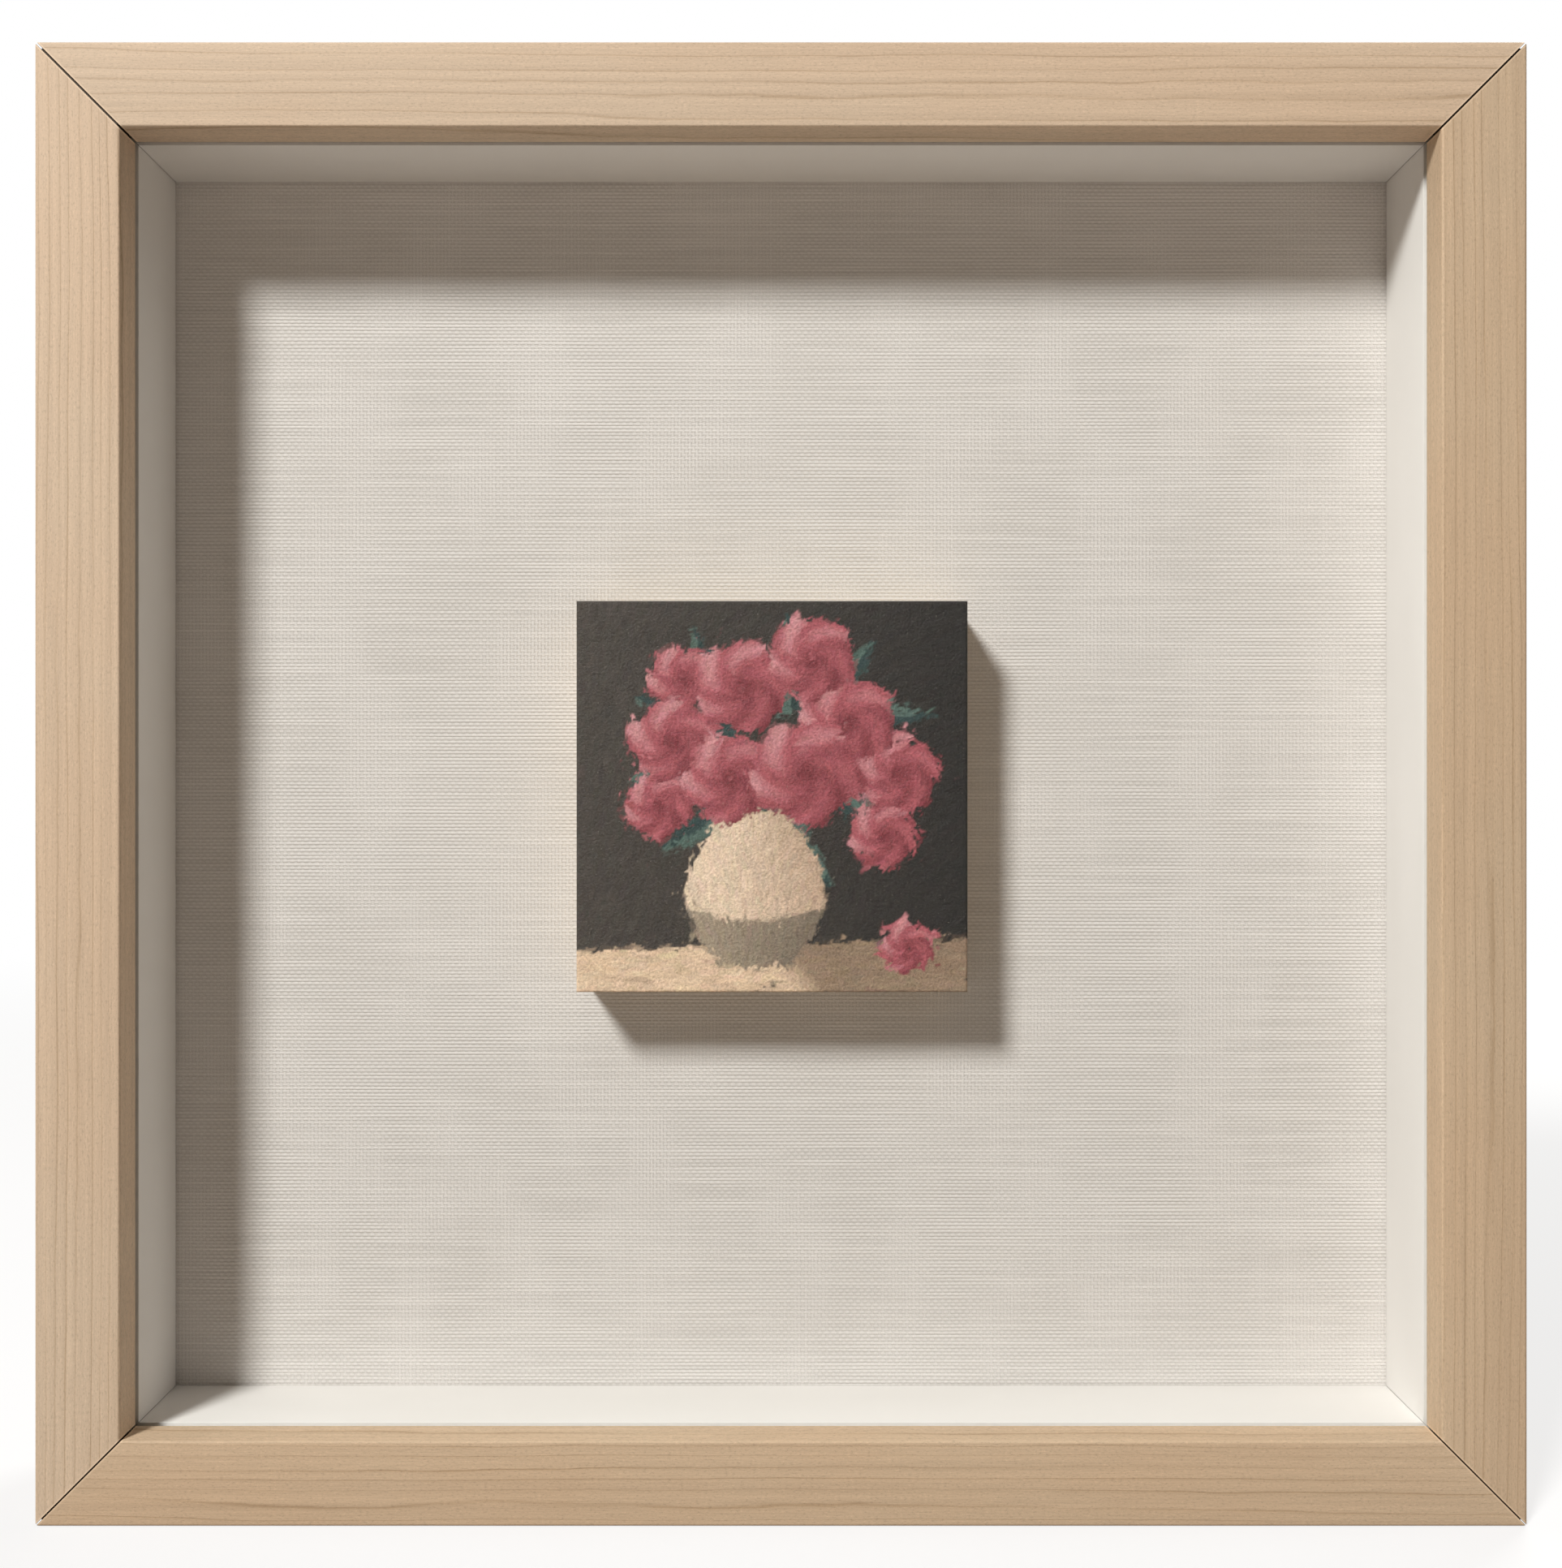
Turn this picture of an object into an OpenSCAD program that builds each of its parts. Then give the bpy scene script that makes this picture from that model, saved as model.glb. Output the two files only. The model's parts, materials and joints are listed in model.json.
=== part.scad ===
// A glazed box frame with a small cradled panel float-mounted on linen.
// X runs to the right, Y from the glazed front to the back, Z up.
// The origin is on the underside of the bottom rail, at the middle of its length and depth.

/* [Frame] */
// Outside width of the frame
frame_w = 367; // [300:1:600]
// Outside height of the frame
frame_h = 365; // [300:1:600]
// Width of the rails' front face
face_w = 21; // [20:0.5:40]
// Thickness of the lip that holds the glass, front to back
lip_t = 9; // [4:0.5:15]
// Width of the rabbet behind the lip
rabbet_w = 6; // [5:0.25:6.5]
// Radius of the rails' outer arrises and of the frame's four corners
arris_r = 0.8; // [0.4:0.1:1.5]
// Radius of the round-over at the sight edge
sight_r = 0.6; // [0.3:0.1:1.2]

/* [Glazing and spacers] */
// Thickness of the glass
glass_t = 2; // [1.5:0.25:4]
// Gap between the glass edge and the rabbet wall
glass_gap = 0.8; // [0.3:0.1:1.5]
// Depth of the spacers, from the glass to the linen
spacer_d = 24; // [22:0.5:40]
// Gap between a spacer's back and the rabbet wall
spacer_gap = 0.5; // [0.2:0.1:1]

/* [Mount and backing boards] */
// Thickness of the linen
linen_t = 0.5; // [0.3:0.1:0.8]
// Width of the linen turned over behind the mount board
linen_turn = 16; // [10:1:30]
// Thickness of the mount board
board_t = 5; // [4:0.5:8]
// Thickness of the filler board
filler_t = 3.5; // [3.5:0.25:8]
// Thickness of the hardboard back
backing_t = 3.2; // [2:0.1:5]
// Gap between the boards' edges and the rabbet wall
board_gap = 0.6; // [0.2:0.1:1.5]

/* [Floated panel] */
// Side of the square panel
panel_s = 100; // [80:1:140]
// Thickness of the panel's plywood face
panel_t = 3.2; // [2:0.2:5]
// Thickness of the gesso and paint
paint_t = 0.5; // [0.3:0.1:0.8]
// Depth of the cradle strips behind the face
cradle_d = 16.3; // [12:0.1:17]
// Thickness of the cradle strips
cradle_t = 12; // [8:0.5:16]
// Shift of the panel from the frame's middle, to the right
panel_dx = -2.3; // [-20:0.1:20]
// Shift of the panel from the frame's middle, upwards
panel_dz = -3.2; // [-20:0.1:20]
// Gap between the mounting block and the cradle strips
block_gap = 0.2; // [0.1:0.05:0.5]

/* [Turn buttons] */
// Length of a turn button
button_l = 24; // [20:0.5:26]
// Width of a turn button
button_w = 9.5; // [8:0.5:10]
// Thickness of a turn button
button_t = 1.2; // [0.8:0.1:1.5]
// Gap between the hardboard back and the turn buttons
button_gap = 0.3; // [0.2:0.05:0.6]
// Distance of a button's pivot from the rabbet wall
pivot_in = 5.5; // [5:0.25:7]
// Distance of the pivots on the side rails from the frame's corners
pivot_end_side = 65; // [60:1:75]
// Distance of the pivots on the top and bottom rails from the frame's corners
pivot_end_top = 90; // [60:1:110]
// Radial fit of a button's hole on its screw
pivot_fit = 0.05; // [0.02:0.01:0.1]

/* [Hangers] */
// Distance of the ring pivots below the top of the frame
hanger_drop = 110; // [105:1:120]
// Width of a hanger strap
strap_w = 9; // [7:0.5:9.5]
// Length of a hanger strap below its ring pivot
strap_l = 22; // [20:0.5:24]
// Thickness of the strap's metal
strap_t = 0.8; // [0.6:0.1:1]
// Diameter of the ring's wire
wire_d = 2; // [1.6:0.1:2.2]
// Inside width of the ring
ring_in_w = 10; // [10:0.25:10.5]
// Clearance between the folded ring, the strap's neck and the upper screw's head
loop_gap = 0.3; // [0.2:0.05:0.5]
// Radial fit of the ring's wire in the strap
ring_fit = 0.08; // [0.03:0.01:0.1]

/* [Fasteners] */
// Shank radius of the wood screws on the back
screw_r = 1.4; // [1.2:0.05:1.6]
// Head radius of the wood screws
screw_head_r = 2.5; // [2.3:0.1:2.8]
// Head height of the wood screws
screw_head_h = 1.6; // [1.2:0.1:2]
// Depth that the screws go into the wood
screw_bite = 10; // [6:0.5:12]
// Radial fit of a screw or nail in its hole
wood_fit = 0.02; // [0.01:0.01:0.05]
// Length of one leg of a V-nail
nail_leg = 4.5; // [3:0.25:5]
// Thickness of a V-nail
nail_t = 0.5; // [0.4:0.05:0.8]
// Depth of a V-nail in the rails
nail_d = 10; // [7:0.5:15]

/* [Wall bumpers] */
// Radius of a bumper
bumper_r = 5; // [4:0.25:6]
// Thickness of a bumper
bumper_t = 4; // [3:0.25:6]
// Distance of a bumper's centre from the frame's outer edges
bumper_in = 9; // [8:0.5:12]

/* [Hidden] */

$fn = 64;
over = 1;                 // how far a cut runs past the face that it opens

// The sides of the frame, as quarter turns from the bottom one
BOTTOM = 0;
LEFT = 1;
TOP = 2;
RIGHT = 3;

// Depth of the stack behind the lip, which sets the depth of the rails
rail_d = lip_t + glass_t + spacer_d + linen_t + board_t + linen_t
       + filler_t + backing_t + button_gap;

// Planes of the stack, front to back
y_front = -rail_d / 2;
y_glass = y_front + lip_t;
y_spacer = y_glass + glass_t;
y_linen = y_spacer + spacer_d;
y_board = y_linen + linen_t;
y_hem = y_board + board_t;
y_filler = y_hem + linen_t;
y_backing = y_filler + filler_t;
y_back = y_front + rail_d;

// Openings, as [width, height]
mid_z = frame_h / 2;
sight = [frame_w - 2 * face_w, frame_h - 2 * face_w];
rabbet = [sight.x + 2 * rabbet_w, sight.y + 2 * rabbet_w];
wall_w = face_w - rabbet_w;
spacer_t = rabbet_w - spacer_gap;
linen_size = [rabbet.x - 2 * board_gap, rabbet.y - 2 * board_gap];
board_size = [linen_size.x - 2 * linen_t, linen_size.y - 2 * linen_t];

// Floated panel
panel_z = mid_z + panel_dz;
cradle_in = panel_s - 2 * cradle_t;
block_s = cradle_in - 2 * block_gap;
y_cradle = y_linen - cradle_d;
y_panel = y_cradle - panel_t;
y_paint = y_panel - paint_t;

// Panel screws and washers
panel_screw_r = 1.6;
panel_screw_head_r = 3;
panel_screw_head_h = 2;
panel_screw_bite = 9;
panel_screw_off = block_s / 2 - 14;
washer_r = 5;
washer_t = 0.8;
filler_hole_r = 6.5;

// Turn buttons, in the frame of their rail
pivot_v = wall_w - pivot_in;
button_heel = button_w / 2;
button_reach = button_l - button_heel;

// Hangers
wire_r = wire_d / 2;
barrel_in_r = wire_r + ring_fit;
barrel_r = barrel_in_r + strap_t;
barrel_y = y_back + barrel_r;
ring_r = ring_in_w / 2 + wire_r;
hanger_x = frame_w / 2 - wall_w / 2;
hanger_z = frame_h - hanger_drop;
neck_l = 0.5;              // length over which the strap's two plies close below the barrel
strap_end = 5;             // distance of the lower screw from the strap's end
// Strap screws, as distances below the ring pivot
strap_screws = [barrel_r + neck_l + loop_gap + screw_head_r, strap_l - strap_end];
// Straight legs that carry the folded ring's loop clear of the upper screw's head
ring_leg = strap_screws[0] + screw_head_r + loop_gap - ring_in_w / 2;

// V-nails, as distances of their points from the rabbet corner along the mitre
nail_at = [5.5, 13];
nail_half_angle = 50;

// ---------- helpers ----------

// A flat shape drawn in X and Z, given thickness t from the plane y0 backwards
module plate(y0, t) {
    translate([0, y0 + t, 0])
        rotate([90, 0, 0])
            linear_extrude(height = t)
                children();
}

// A rectangle centred on the frame's middle
module middle_rect(size) {
    translate([0, mid_z])
        square(size, center = true);
}

// A cylinder along Y, from the plane y0 backwards
module y_rod(r, y0, length) {
    translate([0, y0 + length, 0])
        rotate([90, 0, 0])
            cylinder(r = r, h = length);
}

// Moves what is drawn for the bottom side to another side of the frame
module on_side(side) {
    reach = side % 2 == 0 ? frame_h / 2 : frame_w / 2;
    translate([0, 0, mid_z])
        rotate([0, side * 90, 0])
            translate([0, 0, -reach])
                children();
}

function side_length(side) = side % 2 == 0 ? frame_w : frame_h;

// The piece cut off a square corner to round it; the corner is at the origin
module corner_waste(r) {
    difference() {
        translate([-over, -over])
            square(r + over);
        translate([r, r])
            circle(r = r);
    }
}

// A mitred outline from a side of the given length, between two distances from the outer edge
module mitred(length, v0, v1) {
    half = length / 2;
    polygon([[-half + v0, v0], [half - v0, v0], [half - v1, v1], [-half + v1, v1]]);
}

// A rectangle with true round corners, centred on the frame's middle
module rounded_outline() {
    middle_rect([frame_w - 2 * arris_r, frame_h]);
    middle_rect([frame_w, frame_h - 2 * arris_r]);
    for (sx = [-1, 1], sz = [-1, 1])
        translate([sx * (frame_w / 2 - arris_r), mid_z + sz * (frame_h / 2 - arris_r)])
            circle(r = arris_r);
}

// ---------- rails ----------

// Section of a rail: Y across the page, distance from the outer edge up it
module rail_section() {
    difference() {
        translate([y_front, 0])
            square([rail_d, face_w]);
        translate([y_glass, wall_w])
            square([rail_d, rabbet_w + over]);
        translate([y_front, 0])
            corner_waste(arris_r);
        translate([y_back, 0])
            mirror([1, 0])
                corner_waste(arris_r);
        translate([y_front, face_w])
            mirror([0, 1])
                corner_waste(sight_r);
    }
}

// The outline of a V-nail with its point at the origin, legs along the mitre
module nail_outline(grow) {
    for (s = [-1, 1])
        rotate(s * nail_half_angle)
            translate([-nail_t / 2 - grow, -nail_t / 2 - grow])
                square([nail_leg + 2 * grow, nail_t + 2 * grow]);
}

// The V-nails of all four corners, in X and Z
module nail_outlines(grow) {
    corner = [rabbet.x / 2, rabbet.y / 2];
    for (sx = [-1, 1], sz = [-1, 1], at = nail_at) {
        step = at * sqrt(0.5);
        translate([sx * (corner.x + step), mid_z + sz * (corner.y + step)])
            rotate(atan2(sz, sx))
                nail_outline(grow);
    }
}

// The pilot hole of a turn button's screw, for every pivot on a side
module pivot_holes(side) {
    for (s = [-1, 1])
        translate([s * pivot_u(side), 0, pivot_v])
            y_rod(screw_r + wood_fit, y_back - screw_bite - wood_fit, screw_bite + over);
}

function pivot_u(side) =
    side_length(side) / 2 - (side % 2 == 0 ? pivot_end_top : pivot_end_side);

module strap_holes() {
    for (sx = [-1, 1], down = strap_screws)
        translate([sx * hanger_x, 0, hanger_z - down])
            y_rod(screw_r + wood_fit, y_back - screw_bite - wood_fit, screw_bite + over);
}

module rail(side) {
    difference() {
        intersection() {
            on_side(side)
                intersection() {
                    translate([-side_length(side) / 2, 0, 0])
                        rotate([90, 0, 90])
                            linear_extrude(height = side_length(side))
                                rail_section();
                    plate(y_front - over, rail_d + 2 * over)
                        mitred(side_length(side), 0, face_w);
                }
            plate(y_front - over, rail_d + 2 * over)
                rounded_outline();
        }
        plate(y_back - nail_d - wood_fit, nail_d + over)
            nail_outlines(wood_fit);
        on_side(side)
            pivot_holes(side);
        if (side == LEFT || side == RIGHT)
            strap_holes();
    }
}

module rail_top() {
    color("#cdb595") rail(TOP);
}

module rail_bottom() {
    color("#c0a889") rail(BOTTOM);
}

module rail_left() {
    color("#d0b998") rail(LEFT);
}

module rail_right() {
    color("#bfa78a") rail(RIGHT);
}

module v_nails() {
    color("#6f7276")
        plate(y_back - nail_d, nail_d)
            nail_outlines(0);
}

// ---------- glazing and spacers ----------

module glazing() {
    color("#dfeaea", 0.35)
        plate(y_glass, glass_t)
            middle_rect([rabbet.x - 2 * glass_gap, rabbet.y - 2 * glass_gap]);
}

module spacer(side) {
    color("#ece8e2")
        on_side(side)
            plate(y_spacer, spacer_d)
                mitred(side_length(side), face_w - spacer_t, face_w);
}

module spacer_top() {
    spacer(TOP);
}

module spacer_bottom() {
    spacer(BOTTOM);
}

module spacer_left() {
    spacer(LEFT);
}

module spacer_right() {
    spacer(RIGHT);
}

// ---------- linen, boards ----------

// Places something at each panel screw, in X and Z
module at_panel_screws() {
    for (sx = [-1, 1], sz = [-1, 1])
        translate([panel_dx + sx * panel_screw_off, 0, panel_z + sz * panel_screw_off])
            children();
}

module panel_screw_cut() {
    at_panel_screws()
        y_rod(panel_screw_r + wood_fit, y_linen - over, y_hem - y_linen + 2 * over);
}

module linen_cover() {
    color("#d9d3ca")
        difference() {
            plate(y_linen, y_filler - y_linen)
                middle_rect(linen_size);
            plate(y_board, board_t)
                middle_rect(board_size);
            plate(y_hem - over, linen_t + 2 * over)
                middle_rect([board_size.x - 2 * linen_turn, board_size.y - 2 * linen_turn]);
            panel_screw_cut();
        }
}

module mount_board() {
    color("#e6ded0")
        difference() {
            plate(y_board, board_t)
                middle_rect(board_size);
            panel_screw_cut();
        }
}

module filler_board() {
    color("#b9a486")
        difference() {
            plate(y_filler, filler_t)
                middle_rect(linen_size);
            at_panel_screws()
                y_rod(filler_hole_r, y_filler - over, filler_t + 2 * over);
        }
}

module backing_board() {
    color("#7a5b3e")
        plate(y_backing, backing_t)
            middle_rect(linen_size);
}

// ---------- floated panel ----------

module at_panel() {
    translate([panel_dx, 0, panel_z])
        children();
}

module painted_ground() {
    color("#4a4541")
        at_panel()
            plate(y_paint, paint_t)
                square(panel_s, center = true);
}

module panel_face() {
    color("#cbb48d")
        at_panel()
            plate(y_panel, panel_t)
                square(panel_s, center = true);
}

// A strip across the cradle, as wide as the panel, above or below its middle
module cradle_cross(up) {
    color("#d6c19c")
        at_panel()
            plate(y_cradle, cradle_d)
                translate([0, up * (panel_s - cradle_t) / 2])
                    square([panel_s, cradle_t], center = true);
}

// A strip between the cross strips, left or right of the middle
module cradle_upright(right) {
    color("#d6c19c")
        at_panel()
            plate(y_cradle, cradle_d)
                translate([right * (panel_s - cradle_t) / 2, 0])
                    square([cradle_t, cradle_in], center = true);
}

module cradle_top() {
    cradle_cross(1);
}

module cradle_bottom() {
    cradle_cross(-1);
}

module cradle_left() {
    cradle_upright(-1);
}

module cradle_right() {
    cradle_upright(1);
}

module mounting_block() {
    color("#c9ad7f")
        difference() {
            at_panel()
                plate(y_cradle, cradle_d)
                    square(block_s, center = true);
            at_panel_screws()
                y_rod(panel_screw_r + wood_fit, y_linen - panel_screw_bite - wood_fit,
                      panel_screw_bite + over);
        }
}

module panel_screws() {
    color("#9b9da0")
        at_panel_screws() {
            y_rod(panel_screw_r, y_linen - panel_screw_bite,
                  panel_screw_bite + y_hem - y_linen + washer_t);
            y_rod(panel_screw_head_r, y_hem + washer_t, panel_screw_head_h);
        }
}

module panel_washers() {
    color("#b4b6b8")
        difference() {
            at_panel_screws()
                y_rod(washer_r, y_hem, washer_t);
            at_panel_screws()
                y_rod(panel_screw_r + 5 * wood_fit, y_hem - over, washer_t + 2 * over);
        }
}

// ---------- turn buttons ----------

// A flat button with round ends, its pivot over the rail and its long end over the back
module turn_button(side, along) {
    color("#a9abad")
        on_side(side)
            translate([along * pivot_u(side), 0, pivot_v])
                difference() {
                    plate(y_back, button_t) {
                        circle(r = button_heel);
                        translate([-button_heel, 0])
                            square([button_w, button_reach - button_heel]);
                        translate([0, button_reach - button_heel])
                            circle(r = button_heel);
                    }
                    y_rod(screw_r + pivot_fit, y_back - over, button_t + 2 * over);
                }
}

// A pan-head wood screw along Y, whose head sits on the plane y_seat
module wood_screw(y_seat) {
    y_rod(screw_r, y_back - screw_bite, screw_bite + y_seat - y_back);
    y_rod(screw_head_r, y_seat, screw_head_h * 0.6);
    translate([0, y_seat + screw_head_h * 0.6, 0])
        rotate([-90, 0, 0])
            cylinder(r1 = screw_head_r, r2 = screw_head_r * 0.7, h = screw_head_h * 0.4);
}

module turn_button_screws() {
    color("#c2c3c4")
        for (side = [BOTTOM, LEFT, TOP, RIGHT], s = [-1, 1])
            on_side(side)
                translate([s * pivot_u(side), 0, pivot_v])
                    wood_screw(y_back + button_t);
}

// ---------- hangers ----------

// Section of a strap: Y across the page, Z up it, ring pivot at the origin
module strap_section() {
    ply = 2 * strap_t;
    difference() {
        union() {
            circle(r = barrel_r);
            translate([-barrel_r, -strap_l])
                square([ply, strap_l]);
            polygon([[-barrel_r, 0], [-barrel_r, -barrel_r - neck_l],
                     [-barrel_r + ply, -barrel_r - neck_l],
                     [barrel_r * cos(35), -barrel_r * sin(35)]]);
        }
        circle(r = barrel_in_r);
    }
}

module hanger_strap(right) {
    color("#b8b9ba")
        difference() {
            translate([right * hanger_x - strap_w / 2, barrel_y, hanger_z])
                rotate([90, 0, 90])
                    linear_extrude(height = strap_w)
                        strap_section();
            for (down = strap_screws)
                translate([right * hanger_x, 0, hanger_z - down])
                    y_rod(screw_r + 5 * wood_fit, y_back - over, 2 * strap_t + 4 * over);
        }
}

// A D-shaped wire ring, its straight bar through the strap and its loop upwards
module hanger_ring(right) {
    color("#c6c7c8")
        translate([right * hanger_x, barrel_y, hanger_z]) {
            translate([-ring_r, 0, 0])
                rotate([0, 90, 0])
                    cylinder(r = wire_r, h = 2 * ring_r);
            for (s = [-1, 1])
                translate([s * ring_r, 0, 0]) {
                    sphere(r = wire_r);
                    cylinder(r = wire_r, h = ring_leg);
                }
            translate([0, 0, ring_leg])
                rotate([90, 0, 0])
                    rotate_extrude(angle = 180)
                        translate([ring_r, 0])
                            circle(r = wire_r);
        }
}

module hanger_screws() {
    color("#c2c3c4")
        for (sx = [-1, 1], down = strap_screws)
            translate([sx * hanger_x, 0, hanger_z - down])
                wood_screw(y_back + 2 * strap_t);
}

// ---------- wall bumpers ----------

module wall_bumper(right) {
    edge = 1;
    color("#3c3a38")
        translate([right * (frame_w / 2 - bumper_in), 0, bumper_in]) {
            y_rod(bumper_r, y_back, bumper_t - edge);
            translate([0, y_back + bumper_t - edge, 0])
                rotate([-90, 0, 0])
                    cylinder(r1 = bumper_r, r2 = bumper_r - edge, h = edge);
        }
}

// ---------- nodes ----------

rail_top();
rail_bottom();
rail_left();
rail_right();
v_nails();
glazing();
spacer_top();
spacer_bottom();
spacer_left();
spacer_right();
linen_cover();
mount_board();
painted_ground();
panel_face();
cradle_top();
cradle_bottom();
cradle_left();
cradle_right();
mounting_block();
panel_screws();
panel_washers();
filler_board();
backing_board();
turn_button(TOP, 1);  // turn_button_top_left
turn_button(TOP, -1);  // turn_button_top_right
turn_button(BOTTOM, -1);  // turn_button_bottom_left
turn_button(BOTTOM, 1);  // turn_button_bottom_right
turn_button(LEFT, -1);  // turn_button_left_upper
turn_button(LEFT, 1);  // turn_button_left_lower
turn_button(RIGHT, 1);  // turn_button_right_upper
turn_button(RIGHT, -1);  // turn_button_right_lower
turn_button_screws();
hanger_strap(-1);  // hanger_strap_left
hanger_strap(1);  // hanger_strap_right
hanger_ring(-1);  // hanger_ring_left
hanger_ring(1);  // hanger_ring_right
hanger_screws();
wall_bumper(-1);  // wall_bumper_left
wall_bumper(1);  // wall_bumper_right
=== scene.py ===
"""The looks of a glazed box frame with a small panel floated on linen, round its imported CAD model."""
import json
import math

import bmesh
import bpy
import numpy as np
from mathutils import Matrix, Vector


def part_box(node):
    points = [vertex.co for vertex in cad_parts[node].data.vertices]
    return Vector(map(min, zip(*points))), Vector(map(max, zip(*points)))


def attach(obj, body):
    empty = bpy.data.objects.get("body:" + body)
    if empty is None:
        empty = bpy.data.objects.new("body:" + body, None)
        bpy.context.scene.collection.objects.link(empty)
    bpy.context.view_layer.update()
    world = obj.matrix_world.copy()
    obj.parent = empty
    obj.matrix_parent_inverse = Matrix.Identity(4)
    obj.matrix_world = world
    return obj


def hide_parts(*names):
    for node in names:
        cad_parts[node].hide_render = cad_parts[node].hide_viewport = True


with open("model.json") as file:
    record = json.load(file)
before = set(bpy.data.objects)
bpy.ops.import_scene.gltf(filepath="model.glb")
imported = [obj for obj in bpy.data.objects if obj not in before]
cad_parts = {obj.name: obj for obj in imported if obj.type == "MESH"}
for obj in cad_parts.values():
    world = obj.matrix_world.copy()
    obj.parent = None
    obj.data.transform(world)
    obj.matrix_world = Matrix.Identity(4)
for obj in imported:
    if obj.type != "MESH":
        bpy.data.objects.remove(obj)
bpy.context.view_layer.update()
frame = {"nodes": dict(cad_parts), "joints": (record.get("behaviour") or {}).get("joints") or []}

MM = 0.001

# ---------- places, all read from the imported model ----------

RAIL_LO = Vector((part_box("rail_left")[0].x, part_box("rail_bottom")[0].y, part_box("rail_bottom")[0].z))
RAIL_HI = Vector((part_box("rail_right")[1].x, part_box("rail_bottom")[1].y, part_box("rail_top")[1].z))
MID = (RAIL_LO + RAIL_HI) / 2
HALF_W, HALF_H = MID.x - RAIL_LO.x, MID.z - RAIL_LO.z
Y_FRONT, Y_BACK = RAIL_LO.y, RAIL_HI.y
FACE_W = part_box("rail_bottom")[1].z - RAIL_LO.z
Y_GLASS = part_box("glazing")[0].y
SPACER_LO, SPACER_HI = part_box("spacer_bottom")
SPACER_T = SPACER_HI.z - SPACER_LO.z
LINEN_LO, LINEN_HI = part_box("linen_cover")
BOARD_GAP = 0.6 * MM       # between the boards' edges and the rabbet wall
WALL_W = LINEN_LO.z - RAIL_LO.z - BOARD_GAP    # from a rail's outer edge to its rabbet
ARRIS_R = 0.8 * MM         # the rails' outer edges and the frame's corners
SIGHT_R = 0.6 * MM         # the rails' inner edge at the front
PIVOTS = {j["child"]: Vector(j["pos_m"]) for j in frame["joints"]}

SIDES = ("bottom", "left", "top", "right")


def side_point(side, u, y, v):
    """A point given along a side, through its depth and inwards from its outer edge."""
    half = HALF_H if side in ("bottom", "top") else HALF_W
    along, inward = {
        "bottom": ((1, 0), (0, 1)), "left": ((0, -1), (1, 0)),
        "top": ((-1, 0), (0, -1)), "right": ((0, 1), (-1, 0)),
    }[side]
    x = along[0] * u + inward[0] * (v - half)
    z = along[1] * u + inward[1] * (v - half)
    return (MID.x + x, y, MID.z + z)


def half_length(side):
    """From the middle of a side to the frame's outer corner."""
    return HALF_W if side in ("bottom", "top") else HALF_H


# ---------- node trees ----------

class Shader:
    """Builds a node tree with short calls; every value may be a number or a socket."""

    def __init__(self, owner, output="OutputMaterial"):
        owner.use_nodes = True
        self.owner = owner
        self.tree = owner.node_tree
        self.tree.nodes.clear()
        self.output = self.node(output)

    def put(self, socket, value):
        if isinstance(value, bpy.types.NodeSocket):
            self.tree.links.new(value, socket)
        elif value is not None:
            socket.default_value = value

    def node(self, kind, inputs=(), **settings):
        made = self.tree.nodes.new("ShaderNode" + kind)
        for key, value in settings.items():
            setattr(made, key, value)
        for key, value in dict(inputs).items():
            self.put(made.inputs[key], value)
        return made

    def math(self, operation, a, b=None, clamp=False):
        made = self.node("Math", {0: a}, operation=operation, use_clamp=clamp)
        if b is not None:
            self.put(made.inputs[1], b)
        return made.outputs[0]

    def scaled(self, vector, scale, offset=(0, 0, 0)):
        inputs = {"Vector": vector, "Scale": scale, "Location": offset}
        return self.node("Mapping", inputs).outputs[0]

    def noise(self, vector, detail=2.0, roughness=0.5):
        inputs = {"Vector": vector, "Scale": 1.0, "Detail": detail, "Roughness": roughness}
        return self.node("TexNoise", inputs).outputs["Fac"]

    def split(self, vector):
        return self.node("SeparateXYZ", {0: vector}).outputs

    def remap(self, value, low, high, to_low=0.0, to_high=1.0):
        inputs = {"Value": value, "From Min": low, "From Max": high, "To Min": to_low, "To Max": to_high}
        return self.node("MapRange", inputs, interpolation_type="SMOOTHSTEP").outputs[0]

    def ramp(self, fac, stops):
        made = self.node("ValToRGB", {"Fac": fac})
        points = made.color_ramp.elements
        while len(points) < len(stops):
            points.new(0.5)
        for point, (at, value) in zip(points, stops):
            point.position = at
            point.color = (*value, 1) if hasattr(value, "__len__") else (value, value, value, 1)
        return made.outputs["Color"]

    def mix(self, fac, a, b, blend="MIX"):
        made = self.node("Mix", data_type="RGBA", blend_type=blend)
        self.put(made.inputs["Factor"], fac)
        for socket, value in ((made.inputs[6], a), (made.inputs[7], b)):
            self.put(socket, (*value, 1) if isinstance(value, tuple) and len(value) == 3 else value)
        return made.outputs[2]

    def bump(self, height, distance, strength):
        return self.node("Bump", {"Height": height, "Distance": distance, "Strength": strength}).outputs[0]

    def blend(self, share, one, other):
        """Mixes two shader nodes; the share is the other's."""
        return self.node("MixShader", {0: share, 1: one.outputs[0], 2: other.outputs[0]})

    def show(self, shader):
        self.tree.links.new(shader.outputs[0], self.output.inputs[0])
        return self.owner

    def surface(self, **inputs):
        named = {key.replace("_", " "): value for key, value in inputs.items()}
        colour = named.get("Base Color")
        if isinstance(colour, tuple) and len(colour) == 3:
            named["Base Color"] = (*colour, 1)
        return self.show(self.node("BsdfPrincipled", named))

    def attribute(self, name, output):
        return self.node("Attribute", attribute_name=name).outputs[output]

    def place(self):
        return self.node("TexCoord").outputs["Object"]


def new_material(name):
    return Shader(bpy.data.materials.new(name))


# ---------- materials ----------

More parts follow.
